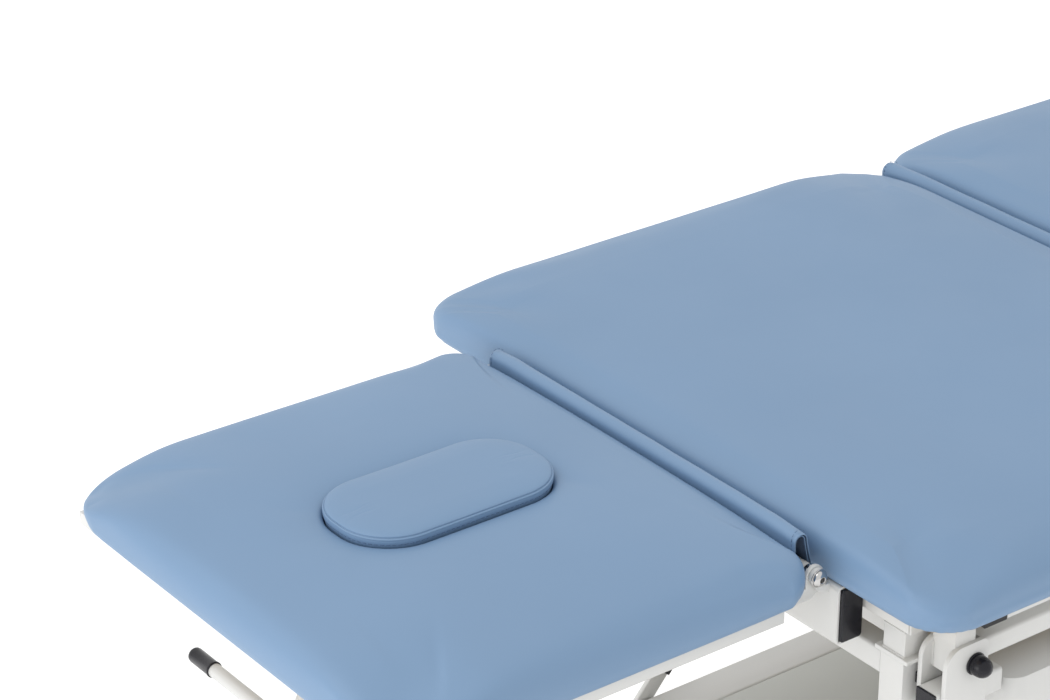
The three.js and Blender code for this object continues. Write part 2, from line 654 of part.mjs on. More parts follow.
// Long base tube with the bracket plates and pins for the lift arms' lower pivots.
function baseSideTube(side) {
  const tube = alongX(tubeOutline(span(side, ...BASE.y), [BASE.bottom, BASE.top], 3, 4), BASE.x);
  const fittings = [FRONT_ARM.foot, REAR_ARM.foot].flatMap(([x, z]) => {
    const plate = new THREE.Shape();
    plate.moveTo(x - 48, BASE.top - 1);
    plate.lineTo(x - 28, z);
    plate.absarc(x, z, 28, Math.PI, 0, true);
    plate.lineTo(x + 48, BASE.top - 1);
    return [acrossY(plate, span(side, 324.5, 330.5)), rodAcrossY([x, z], ARM_PIN, span(side, 300, 325))];
  });
  return join(tube, ...fittings);
}

for (const [name, side] of SIDES) {
  add(lower, `base_side_tube_${name}`, baseSideTube(side), WHITE);
}

// Panel between the side tubes, on two cross tubes, with the actuator's fixed bracket.
function baseDeck() {
  const reach = BASE.y[0] - GAP;
  const [x0, x1] = BASE.x;
  const [px, pz] = LIFT_ACTUATOR.from;
  const panel = block([x0, x1], [-reach, reach], [64, BASE.top]);
  const ends = [[x0, x0 + 50], [x1 - 50, x1]].map((x) => block(x, [-reach, reach], [BASE.bottom, 65]));
  const lug = new THREE.Shape();
  lug.moveTo(px - 26, BASE.top - 1);
  lug.lineTo(px - 14, pz);
  lug.absarc(px, pz, 14, Math.PI, 0, true);
  lug.lineTo(px + 26, BASE.top - 1);
  const lugs = [-15, 9].map((y) => acrossY(lug, [y, y + 6]));
  return join(panel, ...ends, ...lugs, rodAcrossY([px, pz], 6, [-12, 12]));
}

add(lower, 'base_deck', baseDeck(), WHITE);

function levellingFoot() {
  const profile = [[0, 0], [26, 0], [27, 3], [24, 9], [9, 12], [7, 12], [7, BASE.bottom - GAP], [0, BASE.bottom - GAP]];
  return new THREE.LatheGeometry(profile.map(([r, z]) => new THREE.Vector2(r, z)), 20).rotateX(Math.PI / 2);
}

for (const [end, x] of [['head', -20], ['foot', 1060]]) {
  for (const [name, side] of SIDES) {
    add(lower, `levelling_foot_${end}_${name}`, levellingFoot(), BLACK).position.set(x, side * 306, 0);
  }
}

// Control box on the panel, with a mains inlet socket in its foot end.
function controlBox() {
  const shell = slab(roundedRect([790, 960], [-110, 110], 12), [BASE.top + GAP, 128]);
  const socket = block([938, 961], [-13.5, 13.5], [88, 108]);
  return cut(shell, socket);
}

add(lower, 'control_box', controlBox(), GREY);

// Flat pedal lever outside the left base tube.
function pedalLever() {
  const outline = new THREE.Shape();
  outline.absarc(0, 0, 11, -Math.PI / 2, Math.PI / 2, true);
  outline.lineTo(84, 10);
  outline.absarc(84, 0, 10, Math.PI / 2, -Math.PI / 2, true);
  outline.lineTo(0, -11);
  return acrossY(outline, [BASE.y[1] + 2, BASE.y[1] + 8], 8).rotateY(-PEDAL.slope).translate(PEDAL.x, 0, PEDAL.z);
}

add(lower, 'pedal_lever', pedalLever(), WHITE);

const table = new THREE.Group();
table.add(upper, lower);

export default table;
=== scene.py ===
"""A three-section medical exam table, dressed over its fixed frame. Metres, +Z up, +X to the foot end."""

import json
import math

import bmesh
import bpy
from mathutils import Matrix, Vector, noise


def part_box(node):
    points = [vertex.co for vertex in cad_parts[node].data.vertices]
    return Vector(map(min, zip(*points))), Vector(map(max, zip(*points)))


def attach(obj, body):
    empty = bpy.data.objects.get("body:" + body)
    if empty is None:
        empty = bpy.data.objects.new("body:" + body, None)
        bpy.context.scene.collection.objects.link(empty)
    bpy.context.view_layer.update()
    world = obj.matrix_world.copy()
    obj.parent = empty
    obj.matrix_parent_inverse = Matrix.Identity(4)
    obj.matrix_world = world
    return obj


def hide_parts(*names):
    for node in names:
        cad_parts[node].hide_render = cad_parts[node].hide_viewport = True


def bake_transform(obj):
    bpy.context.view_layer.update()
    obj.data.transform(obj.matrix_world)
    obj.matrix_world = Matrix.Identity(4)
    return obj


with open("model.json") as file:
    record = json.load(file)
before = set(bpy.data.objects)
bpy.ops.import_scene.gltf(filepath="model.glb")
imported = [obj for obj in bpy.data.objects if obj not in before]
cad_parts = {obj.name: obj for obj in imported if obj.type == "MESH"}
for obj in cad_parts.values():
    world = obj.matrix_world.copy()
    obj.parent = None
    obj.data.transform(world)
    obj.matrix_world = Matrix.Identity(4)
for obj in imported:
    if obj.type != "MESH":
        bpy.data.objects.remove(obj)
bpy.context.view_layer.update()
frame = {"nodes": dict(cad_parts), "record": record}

MM = 0.001
SIDES = (("left", 1), ("right", -1))

# Places that everything else is worked out from.
middle_low, middle_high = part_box("middle_cushion")
head_low, head_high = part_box("head_cushion")
foot_low, foot_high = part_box("foot_cushion")
plug_low, plug_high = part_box("face_hole_plug")
TOP_Z = middle_high.z
HINGE_X = (head_high.x + middle_low.x) / 2
FOOT_HINGE_X = (middle_high.x + foot_low.x) / 2


def at(x, y, z):
    """Millimetres from the head hinge line, the middle of the width and the cushions' top, as a place."""
    return Vector((HINGE_X + x * MM, y * MM, TOP_Z + z * MM))


# ---------------------------------------------------------------- camera, light and floor

CAMERA_AT = (-2.1656, -2.0225, 2.0194)
CAMERA_HEADING = math.radians(36.898)
CAMERA_PITCH = math.radians(26.543)
CAMERA_LENS = 111.8
SENSOR_WIDTH = 36
TABLE_MIDDLE = (0, 0, 0.5)


def add_camera():
    data = bpy.data.cameras.new("camera")
    data.lens = CAMERA_LENS
    data.sensor_width = SENSOR_WIDTH
    data.clip_end = 60
    camera = bpy.data.objects.new("camera", data)
    bpy.context.scene.collection.objects.link(camera)
    flat = math.cos(CAMERA_PITCH)
    look = Vector((
        math.sin(CAMERA_HEADING) * flat, math.cos(CAMERA_HEADING) * flat, -math.sin(CAMERA_PITCH)))
    camera.location = CAMERA_AT
    camera.rotation_euler = look.to_track_quat("-Z", "Y").to_euler()
    bpy.context.scene.camera = camera


def add_area(name, place, target, size, power):
    data = bpy.data.lights.new(name, "AREA")
    data.shape = "RECTANGLE"
    data.size, data.size_y = size
    data.energy = power
    light = bpy.data.objects.new(name, data)
    bpy.context.scene.collection.objects.link(light)
    light.location = place
    light.rotation_euler = (Vector(target) - Vector(place)).to_track_quat("-Z", "Y").to_euler()


def add_studio():
    world = bpy.data.worlds.new("studio")
    world.use_nodes = True
    world.node_tree.nodes["Background"].inputs["Color"].default_value = (1, 1, 1, 1)
    world.node_tree.nodes["Background"].inputs["Strength"].default_value = 1.0
    bpy.context.scene.world = world
    bpy.context.scene.view_settings.view_transform = "Standard"
    add_area("key", (-2.4, 0.6, 3.4), TABLE_MIDDLE, (2.4, 2.4), 26)
    add_area("fill", (-3.8, 0.0, 0.9), TABLE_MIDDLE, (2.0, 1.4), 22)


# ---------------------------------------------------------------- materials

class Shader:
    """One Principled material with the few nodes that a finish needs."""

    def __init__(self, name, color, **sockets):
        self.material = bpy.data.materials.new(name)
        self.material.use_nodes = True
        self.tree = self.material.node_tree
        self.surface = self.tree.nodes["Principled BSDF"]
        self.color = (*color, 1)
        self.surface.inputs["Base Color"].default_value = self.color
        for socket, value in sockets.items():
            self.surface.inputs[socket.replace("_", " ")].default_value = value
        self.place = self.tree.nodes.new("ShaderNodeTexCoord").outputs["Object"]
        self.normal = None

    def node(self, kind, **sockets):
        made = self.tree.nodes.new(f"ShaderNode{kind}")
        for socket, value in sockets.items():
            made.inputs[socket.replace("_", " ")].default_value = value
        return made

    def link(self, out, into):
        self.tree.links.new(out, into)

    def noise(self, scale, detail=3.0, roughness=0.5):
        made = self.node("TexNoise", Scale=scale, Detail=detail, Roughness=roughness)
        self.link(self.place, made.inputs["Vector"])
        return made.outputs["Fac"]

    def ramp(self, value, low, high, start=0.3, end=0.7):
        made = self.tree.nodes.new("ShaderNodeMapRange")
        for socket, number in zip(("From Min", "From Max", "To Min", "To Max"), (start, end, low, high)):
            made.inputs[socket].default_value = number
        self.link(value, made.inputs["Value"])
        return made.outputs["Result"]

    def tint(self, value, dark, light):
        """The base colour wanders between two shades of itself."""
        mix = self.tree.nodes.new("ShaderNodeMix")
        mix.data_type = "RGBA"
        mix.inputs["A"].default_value = (*(c * dark for c in self.color[:3]), 1)
        mix.inputs["B"].default_value = (*(min(c * light, 1) for c in self.color[:3]), 1)
        self.link(value, mix.inputs["Factor"])
        self.link(mix.outputs["Result"], self.surface.inputs["Base Color"])

    def bump(self, height, strength, distance):
        made = self.node("Bump", Strength=strength, Distance=distance)
        self.link(height, made.inputs["Height"])
        if self.normal is not None:
            self.link(self.normal, made.inputs["Normal"])
        self.normal = made.outputs["Normal"]
        self.link(self.normal, self.surface.inputs["Normal"])


def vinyl():
    made = Shader("vinyl", (0.168, 0.270, 0.414), Roughness=0.46)
    made.surface.inputs["Specular IOR Level"].default_value = 0.42
    made.tint(made.ramp(made.noise(3.2), 0, 1), 0.975, 1.025)
    made.link(made.ramp(made.noise(9.0), 0.43, 0.50), made.surface.inputs["Roughness"])
    grain = made.node("TexVoronoi", Scale=1150.0)
    made.link(made.place, grain.inputs["Vector"])
    made.bump(grain.outputs["Distance"], 0.16, 0.00012)
    made.bump(made.noise(60.0, 2.0), 0.10, 0.0008)
    return made.material


def thread():
    made = Shader("thread", (0.085, 0.140, 0.245), Roughness=0.7)
    made.tint(made.noise(900.0), 0.8, 1.2)
    made.bump(made.noise(1500.0, 1.0), 0.4, 0.0003)
    return made.material


def painted_shade_backing():
    """The woven back of the vinyl, seen inside a fold, its colour darkened as painted shade for the fold's
    hollow.
    """
    made = Shader("vinyl_backing_painted_shade", (0.060, 0.100, 0.170), Roughness=0.8)
    weave = made.node("TexChecker", Scale=1600.0)
    made.link(made.place, weave.inputs["Vector"])
    made.tint(made.noise(400.0), 0.8, 1.2)
    made.bump(weave.outputs["Fac"], 0.3, 0.0002)
    return made.material


def powder_coat(name, color):
    made = Shader(name, color, Roughness=0.36)
    made.tint(made.ramp(made.noise(5.0), 0, 1), 0.985, 1.01)
    made.link(made.ramp(made.noise(24.0), 0.32, 0.40), made.surface.inputs["Roughness"])
    made.bump(made.noise(420.0, 2.0), 0.10, 0.0003)
    return made.material


def black_plastic():
    made = Shader("black_plastic", (0.010, 0.010, 0.014), Roughness=0.26)
    made.surface.inputs["Specular IOR Level"].default_value = 0.3
    made.tint(made.noise(40.0), 0.85, 1.2)
    made.bump(made.noise(900.0, 2.0), 0.18, 0.0002)
    return made.material


def rubber():
    made = Shader("rubber", (0.022, 0.022, 0.024), Roughness=0.72)
    made.tint(made.noise(60.0), 0.8, 1.25)
    made.bump(made.noise(500.0, 2.0), 0.3, 0.0003)
    return made.material


def grey_plastic():
    made = Shader("grey_plastic", (0.30, 0.31, 0.315), Roughness=0.55)
    made.tint(made.noise(30.0), 0.96, 1.04)
    made.bump(made.noise(700.0, 2.0), 0.35, 0.0003)
    return made.material


def chrome():
    made = Shader("chrome", (0.56, 0.555, 0.55), Metallic=1.0, Roughness=0.10)
    made.tint(made.noise(30.0), 0.97, 1.0)
    made.link(made.ramp(made.noise(45.0), 0.07, 0.14), made.surface.inputs["Roughness"])
    return made.material


def socket_steel():
    made = Shader("socket_steel", (0.06, 0.06, 0.065), Metallic=1.0, Roughness=0.35)
    made.link(made.ramp(made.noise(80.0), 0.28, 0.42), made.surface.inputs["Roughness"])
    made.tint(made.noise(50.0), 0.9, 1.0)
    return made.material


def plywood():
    made = Shader("plywood", (0.50, 0.41, 0.29), Roughness=0.62)
    grain = made.node("TexWave", Scale=14.0, Distortion=5.0, Detail=3.0)
    grain.bands_direction = "Y"
    made.link(made.place, grain.inputs["Vector"])
    made.tint(made.ramp(grain.outputs["Fac"], 0, 1, 0.1, 0.9), 0.88, 1.1)
    made.bump(grain.outputs["Fac"], 0.1, 0.0003)
    return made.material


def pale_floor():
    made = Shader("pale_floor", (0.90, 0.90, 0.90), Roughness=0.9)
    made.surface.inputs["Emission Color"].default_value = (1, 1, 1, 1)
    made.surface.inputs["Emission Strength"].default_value = 0.28
    made.tint(made.noise(1.5), 0.995, 1.0)
    return made.material


def add_floor():
    bpy.ops.mesh.primitive_plane_add(size=40, location=(0, 0, 0))
    floor = bpy.context.object
    floor.name = "floor"
    floor.data.materials.append(pale_floor())


add_camera()
add_studio()
add_floor()

VINYL = vinyl()
THREAD = thread()
WHITE = powder_coat("powder_coat", (0.62, 0.62, 0.605))
# The base deck gets the white powder coat darkened: painted shade for the shadow under the table.
DECK_PAINTED_SHADE = powder_coat("powder_coat_deck_painted_shade", (0.47, 0.48, 0.45))
PAINTED_SHADE_BACKING = painted_shade_backing()
BLACK = black_plastic()
RUBBER = rubber()
GREY = grey_plastic()
CHROME = chrome()
STEEL = socket_steel()
PLYWOOD = plywood()

FINISH = {
    "vinyl": VINYL, "white_steel": WHITE, "black_plastic": BLACK,
    "chrome": CHROME, "plywood": PLYWOOD, "grey_plastic": GREY,
}

# ---------------------------------------------------------------- making pieces


def new_piece(name, mesh, *materials, smooth=True):
    piece = bpy.data.objects.new(name, mesh)
    bpy.context.scene.collection.objects.link(piece)
    for material in materials:
        mesh.materials.append(material)
    mesh.polygons.foreach_set("use_smooth", [smooth] * len(mesh.polygons))
    return piece


def mesh_from(name, points, faces):
    mesh = bpy.data.meshes.new(name)
    mesh.from_pydata([tuple(p) for p in points], [], faces)
    mesh.validate()
    mesh.update()
    return mesh


def outward(mesh):
    """Faces turned to point out of the closed mesh."""
    made = bmesh.new()
    made.from_mesh(mesh)
    bmesh.ops.recalc_face_normals(made, faces=made.faces)
    made.to_mesh(mesh)
    made.free()


def joined(name, parts, *materials, smooth=True):
    """One mesh from several (points, faces) parts; a third item in a part is its material's number."""
    points, faces, numbers = [], [], []
    for part in parts:
        start = len(points)
        points.extend(part[0])
        faces.extend([tuple(i + start for i in face) for face in part[1]])
        numbers.extend([part[2] if len(part) > 2 else 0] * len(part[1]))
    mesh = mesh_from(name, points, faces)
    outward(mesh)
    piece = new_piece(name, mesh, *materials, smooth=smooth)
    mesh.polygons.foreach_set("material_index", numbers)
    return piece


def loft(rings, cap=True):
    """A tube of faces through equal closed rings of points, capped at both ends."""
    count = len(rings[0])
    points = [p for ring in rings for p in ring]
    faces = []
    for k in range(len(rings) - 1):
        for i in range(count):
            j = (i + 1) % count
            faces.append((k * count + i, k * count + j, (k + 1) * count + j, (k + 1) * count + i))
    if cap:
        faces.append(tuple(reversed(range(count))))
        faces.append(tuple((len(rings) - 1) * count + i for i in range(count)))
    return points, faces


def ring_about(centre, axis, radius, count=32, start=0.0):
    """Points of a circle about an axis."""
    axis = Vector(axis).normalized()
    side = axis.orthogonal().normalized()
    other = axis.cross(side)
    turns = [start + 2 * math.pi * i / count for i in range(count)]
    return [Vector(centre) + radius * (math.cos(t) * side + math.sin(t) * other) for t in turns]


def turned(centre, axis, profile, count=32):
    """A closed lathed part: profile is (distance along the axis, radius) in millimetres."""
    axis = Vector(axis).normalized()
    rings = [ring_about(Vector(centre) + axis * d * MM, axis, max(r, 0.02) * MM, count) for d, r in profile]
    return loft(rings)


def bar_between(a, b, radius, count=8):
    a, b = Vector(a), Vector(b)
    axis = b - a
    return loft([ring_about(a, axis, radius, count), ring_about(b, axis, radius, count)])


def soften(piece, width, segments=2):
    bevel = piece.modifiers.new("bevel", "BEVEL")
    bevel.width = width
    bevel.segments = segments
    bevel.limit_method = "ANGLE"
    bevel.angle_limit = math.radians(35)


def round_over(piece, levels=1):
    subdivide = piece.modifiers.new("subdivide", "SUBSURF")
    subdivide.levels = levels
    subdivide.render_levels = levels


# ---------------------------------------------------------------- rounded outlines

def rounded_outline(low, high, radii, per_corner, per_side):
    """Points round a rounded rectangle, with the same number on every corner and side.
    The radii are at the low x end and the high x end."""
    (x0, y0), (x1, y1) = low, high
    ra, rb = radii
    corners = [
        (x1 - rb, y0 + rb, -90, rb), (x1 - rb, y1 - rb, 0, rb),
        (x0 + ra, y1 - ra, 90, ra), (x0 + ra, y0 + ra, 180, ra)]
    points = []
    for number, (cx, cy, start, radius) in enumerate(corners):
        arc = []
        for i in range(per_corner + 1):
            turn = math.radians(start + 90 * i / per_corner)
            arc.append((cx + radius * math.cos(turn), cy + radius * math.sin(turn)))
        nx, ny, begin, wide = corners[(number + 1) % 4]
        turn = math.radians(begin)
        after = (nx + wide * math.cos(turn), ny + wide * math.sin(turn))
        side = [
            (arc[-1][0] + (after[0] - arc[-1][0]) * i / per_side,
             arc[-1][1] + (after[1] - arc[-1][1]) * i / per_side)
            for i in range(1, per_side)]
        points.extend(arc + side)
    return points


PER_CORNER = 22
PER_SIDE = 26
CROWN_REACH = 150 * MM           # the stuffing is at its full height this far in from the edges
DROOP_REACH = 120 * MM           # the corners are pulled down within this distance
BOW_REACH = 120 * MM             # the bowed end fades into the sides over this distance
SHOULDER = 24 * MM               # the rounded shoulder lies within this distance of the top
TIGHTEST_CORNER = 24 * MM
PLEAT_REACH = 62 * MM
PLEAT_DEPTH = 2.4 * MM


class Pad:
    """One cushion's place and shape. Corner, droop and slope each have a value for the low x end and one for
    the high x end: the corners' radius, how far they are pulled down, and how much of the usual slope the
    shoulder has. The crown is how much higher the stuffing stands in the middle, and the bow how far the
    high x end's middle stands out past its corners. All but the slope are in millimetres."""

    def __init__(self, box, corner, droop, slope, crown, bow=0):
        self.low, self.high = box
        self.corner, self.droop, self.slope, self.crown, self.bow = corner, droop, slope, crown, bow

    def ring(self, inset, height):
        """One ring, in from the outline and at a height below the top."""
        ends = [inset * (slope if height > -SHOULDER else 1) for slope in self.slope]
        radii = [max(radius * MM - 0.5 * inset, TIGHTEST_CORNER) for radius in self.corner]
        outline = rounded_outline(
            (self.low.x + ends[0], self.low.y + inset), (self.high.x - ends[1], self.high.y - inset),
            radii, PER_CORNER, PER_SIDE)
        return [Vector((x + self.bowed(x, y), y, self.high.z + height)) for x, y in outline]

    def bowed(self, x, y):
        """How far out a point of the high x end stands: the middle stands out, and its corners stand back."""
        across = abs(y) / ((self.high.y - self.low.y) / 2)
        near = max(0.0, 1 - (self.high.x - x) / BOW_REACH)
        return self.bow * MM * (0.4 - across ** 3) * near

    def settled(self, points):
        """The top surface raised towards the middle, and pulled down at the corners."""
        result = []
        for point in points:
            ends = (point.x - self.low.x, self.high.x - point.x)
            side = min(point.y - self.low.y, self.high.y - point.y)
            share = 1.0
            for edge in (*ends, side):
                near = min(max(edge / CROWN_REACH, 0), 1)
                share *= near * near * (3 - 2 * near)
            rise = self.crown * MM * share
            for end, droop in zip(ends, self.droop):
                far = min(math.hypot(max(end, 0), max(side, 0)) / DROOP_REACH, 1)
                rise -= droop * MM * (1 - far * far * (3 - 2 * far))
            top = min(max((point.z - self.high.z + 32 * MM) / (24 * MM), 0), 1)
            result.append(point + Vector((0, 0, rise * top)))
        return result


# A cushion's section from the wrap under the board, round the side and up over the shoulder:
# distance in from the outline and height, in millimetres.
SECTION = (
    (9.5, -33.0), (8.8, -38.0), (8.4, -43.6), (7.0, -44.6), (5.2, -43.6), (3.4, -41.2), (2.0, -38.0),
    (0.9, -34.0), (0.3, -30.0), (0.0, -25.6), (0.3, -21.2), (1.3, -16.8), (3.2, -12.7), (6.2, -9.1),
    (10.2, -6.4), (15.0, -4.5), (21.0, -3.3), (29.0, -2.5), (40.0, -1.8), (56.0, -1.2), (74.0, -0.7))


def pleat(ring, low, high, depth):
    """Gathers the wrapped edge into small pleats round each corner."""
    result = []
    for point in ring:
        dx = min(point.x - low.x, high.x - point.x)
        dy = min(point.y - low.y, high.y - point.y)
        near = max(0.0, 1 - (dx + dy) / (2 * PLEAT_REACH))
        wave = math.sin((point.x - point.y) * 430 + 9 * noise.noise(point * 25))
        centre = Vector(((low.x + high.x) / 2, (low.y + high.y) / 2, point.z))
        inward = (centre - point).normalized()
        result.append(point + inward * depth * near * (0.5 + 0.5 * wave))
    return result


def pad_rings(pad):
    rings = []
    for inset, height in SECTION:
        ring = pad.ring(inset * MM, height * MM)
        if -45 < height < -30:
            ring = pleat(ring, pad.low, pad.high, (-30 - height) / 15 * PLEAT_DEPTH)
        rings.append(ring)
    return rings


def quilt(ring, start, first):
    """Fills a ring with a grid whose corners are the middles of its rounded corners.
    The ring's own points are numbered from start; the new ones from first."""
    side = len(ring) // 4
    corner = len(ring) * PER_CORNER // (PER_CORNER + PER_SIDE) // 8

    def rim(number):
        return (corner + number) % len(ring)

    def edge_index(i, j):
        if j == 0:
            return rim(3 * side + i)
        if i == side:
            return rim(j)
        if j == side:
            return rim(2 * side - i)
        return rim(3 * side - j)

    points, numbers = [], {}
    corners = [ring[rim(k * side)] for k in range(4)]
    for i in range(side + 1):
        for j in range(side + 1):
            if i in (0, side) or j in (0, side):
                numbers[i, j] = start + edge_index(i, j)
                continue
            u, v = i / side, j / side
            across = ring[edge_index(i, 0)].lerp(ring[edge_index(i, side)], v)
            along = ring[edge_index(0, j)].lerp(ring[edge_index(side, j)], u)
            flat = corners[3].lerp(corners[0], u).lerp(corners[2].lerp(corners[1], u), v)
            numbers[i, j] = first + len(points)
            points.append(across + along - flat)
    faces = [(numbers[i, j], numbers[i + 1, j], numbers[i + 1, j + 1], numbers[i, j + 1])
             for i in range(side) for j in range(side)]
    return points, faces


def quilted(rings):
    """A closed body through rings, its first and last filled with grids."""
    points, faces = loft(rings, cap=False)
    last = (len(rings) - 1) * len(rings[0])
    for ring, start in ((rings[-1], last), (rings[0], 0)):
        inside, cells = quilt(ring, start, len(points))
        points = points + inside
        faces = faces + cells
    return points, faces


def plain_cushion(name, pad):
    points, faces = quilted(pad_rings(pad))
    mesh = mesh_from(name, pad.settled(points), faces)
    outward(mesh)
    return new_piece(name, mesh, VINYL)


# The face hole's section, from the cushion's top down its wall: distance out from the wall and height.
HOLE_RADIUS = 51 * MM
HOLE_CLEARANCE = 0.4 * MM
HOLE_LEAN = (3 * MM, 4 * MM)
HOLE_SECTION = (
    (46.0, -0.3), (30.0, -0.4), (18.0, -0.5), (10.0, -0.8), (6.0, -1.2), (3.6, -2.0), (1.8, -3.7),
    (0.5, -7.5), (0.0, -14.0), (0.0, -32.0), (0.0, -43.0))
BOARD_UNDER = -33 * MM           # where the cover meets the board, from the cushions' top


def leaned(x, y, height):
    """The plug and its hole stand a little off upright in the soft upper part of the stuffing."""
    share = min(max((height + 40 * MM) / (26 * MM), 0), 1)
    return x + HOLE_LEAN[0] * share, y + HOLE_LEAN[1] * share


def hole_ring(low, high, grow, height):
    """One ring round the face hole, out from its wall and at a height below the top."""
    radius = HOLE_RADIUS + grow
    outline = rounded_outline(
        (low.x - grow, low.y - grow), (high.x + grow, high.y + grow), (radius, radius),
        PER_CORNER, PER_SIDE)
    return [Vector((*leaned(x, y, height), TOP_Z + height)) for x, y in outline]


def between(ring_a, ring_b, share):
    return [a.lerp(b, share) for a, b in zip(ring_a, ring_b)]


def head_cushion(pad):
    """The head cushion, with the face hole through it."""
    clear = Vector((HOLE_CLEARANCE, HOLE_CLEARANCE, 0))
    hole_low, hole_high = plug_low - clear, plug_high + clear
    outer = pad_rings(pad)[:-1]
    inner = [hole_ring(hole_low, hole_high, grow * MM, height * MM) for grow, height in HOLE_SECTION]
    bridge = [between(outer[-1], inner[0], share) for share in (0.25, 0.5, 0.75)]
    under = between(outer[0], inner[-1], 0.9)
    for point in under:
        point.z = TOP_Z + BOARD_UNDER
    rings = outer + bridge + inner + [under]
    points, faces = loft(rings, cap=False)
    count = len(rings[0])
    last = (len(rings) - 1) * count
    faces += [(last + i, last + (i + 1) % count, (i + 1) % count, i) for i in range(count)]
    mesh = mesh_from("head_cushion_soft", pad.settled(points), faces)
    outward(mesh)
    return new_piece("head_cushion_soft", mesh, VINYL)


# ---------------------------------------------------------------- stuffing by cloth simulation

SWELL_FRAMES = 20


def swell(piece, pressure, cap, held_below):
    """Blows the cover up with air pressure while everything below a height stays stapled down,
    lets no point move further than about the cap, and keeps the result."""
    before = [v.co.copy() for v in piece.data.vertices]
    pins = piece.vertex_groups.new(name="stapled")
    pins.add([v.index for v in piece.data.vertices if v.co.z < held_below], 1.0, "REPLACE")
    cloth = piece.modifiers.new("cloth", "CLOTH")
    settings = cloth.settings
    settings.quality = 6
    settings.mass = 0.4
    settings.tension_stiffness = 25
    settings.compression_stiffness = 25
    settings.shear_stiffness = 12
    settings.bending_stiffness = 2
    settings.vertex_group_mass = "stapled"
    settings.use_pressure = True
    settings.uniform_pressure_force = pressure
    settings.effector_weights.gravity = 0
    cloth.point_cache.frame_start = 1
    cloth.point_cache.frame_end = SWELL_FRAMES
    scene = bpy.context.scene
    for number in range(1, SWELL_FRAMES + 1):
        scene.frame_set(number)
    swollen = piece.evaluated_get(bpy.context.evaluated_depsgraph_get()).data
    after = [v.co.copy() for v in swollen.vertices]
    piece.modifiers.remove(cloth)
    scene.frame_set(1)
    for vertex, old, new in zip(piece.data.vertices, before, after):
        move = new - old
        far = move.length
        if far > 1e-7:
            vertex.co = old + move * (cap * math.tanh(far / cap) / far)
    piece.data.update()


HEAD_CORNER = 63                 # the head cushion's rounder far corners
HEAD_PAD = Pad(
    (head_low, head_high), corner=(HEAD_CORNER, 33), droop=(17, 0), slope=(1, 0.4), crown=9, bow=5.5)
MIDDLE_PAD = Pad((middle_low, middle_high), corner=(47, 47), droop=(9, 12), slope=(0.4, 0.5), crown=4)
FOOT_PAD = Pad((foot_low, foot_high), corner=(47, 50), droop=(11, 8), slope=(0.45, 1), crown=4)


def make_cushions():
    pieces = (
        (head_cushion(HEAD_PAD), "head_cushion", "head_section"),
        (plain_cushion("middle_cushion_soft", MIDDLE_PAD), "middle_cushion", "top_frame"),
        (plain_cushion("foot_cushion_soft", FOOT_PAD), "foot_cushion", "foot_section"))
    for piece, node, body in pieces:
        swell(piece, pressure=1.6, cap=3.0 * MM, held_below=TOP_Z - 36 * MM)
        round_over(piece)
        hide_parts(node)
        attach(piece, body)


# ---------------------------------------------------------------- face hole plug

# The plug's section from its underside up its wall, over the groove of its seam and in over its top:
# distance in from the CAD outline and height from the CAD top, in millimetres.
PLUG_CORNER = 50 * MM
PLUG_SECTION = (
    (9.0, -60.5), (3.0, -60.0), (1.8, -58.0), (1.6, -40.0), (1.2, -26.0), (0.2, -15.0), (-0.8, -10.8),
    (-1.6, -7.8), (-1.9, -5.6), (-1.6, -4.0), (-0.8, -3.1), (0.4, -2.7), (0.1, -2.2), (0.0, -1.5),
    (0.8, -0.8), (2.6, 0.0), (5.6, 0.8), (9.6, 1.5), (15.6, 2.1), (25.0, 2.6))


def plug_ring(inset, height):
    radius = max(PLUG_CORNER - inset, 3 * MM)
    outline = rounded_outline(
        (plug_low.x + inset, plug_low.y + inset), (plug_high.x - inset, plug_high.y - inset),
        (radius, radius), PER_CORNER, PER_SIDE)
    level = plug_high.z + height - TOP_Z
    return [Vector((*leaned(x, y, level), plug_high.z + height)) for x, y in outline]


def tube_along(path, radius, count=8):
    """A closed loop of tube through a ring of points."""
    total = len(path)
    rings = []
    for i, point in enumerate(path):
        ahead = (path[(i + 1) % total] - path[i - 1]).normalized()
        out = ahead.cross(Vector((0, 0, 1))).normalized()
        up = out.cross(ahead)
        turns = [2 * math.pi * k / count for k in range(count)]
        rings.append([point + radius * (math.cos(t) * out + math.sin(t) * up) for t in turns])
    points, faces = loft(rings, cap=False)
    last = (total - 1) * count
    faces += [(last + k, last + (k + 1) % count, (k + 1) % count, k) for k in range(count)]
    return points, faces


def stitches_along(path, length, gap, radius, closed=True):
    """Short threads laid end to end along a path."""
    points = list(path) + ([path[0]] if closed else [])
    travelled = [0.0]
    for a, b in zip(points, points[1:]):
        travelled.append(travelled[-1] + (b - a).length)
    total = travelled[-1]
    count = max(1, int(total / (length + gap)))
    pitch = total / count

    def along(distance):
        k = 0
        while k < len(travelled) - 2 and travelled[k + 1] < distance:
            k += 1
        share = (distance - travelled[k]) / max(travelled[k + 1] - travelled[k], 1e-9)
        return points[k].lerp(points[k + 1], min(max(share, 0), 1))

    return [bar_between(along(i * pitch), along(i * pitch + pitch * length / (length + gap)), radius, 6)
            for i in range(count)]


def make_plug():
    rings = [plug_ring(inset * MM, height * MM) for inset, height in PLUG_SECTION]
    mesh = mesh_from("plug_soft", *quilted(rings))
    outward(mesh)
    plug = new_piece("plug_soft", mesh, VINYL)
    swell(plug, pressure=1.2, cap=1.2 * MM, held_below=plug_high.z - 9 * MM)
    round_over(plug)
    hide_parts("face_hole_plug")
    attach(plug, "face_plug")

    piping = joined("plug_piping", [tube_along(plug_ring(-0.7 * MM, -3.8 * MM), 1.2 * MM)], VINYL)
    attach(piping, "face_plug")
    seam = plug_ring(-1.3 * MM, -8.4 * MM)
    stitching = joined("plug_stitching", stitches_along(seam, 3.4 * MM, 1.8 * MM, 0.42 * MM), THREAD)
    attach(stitching, "face_plug")


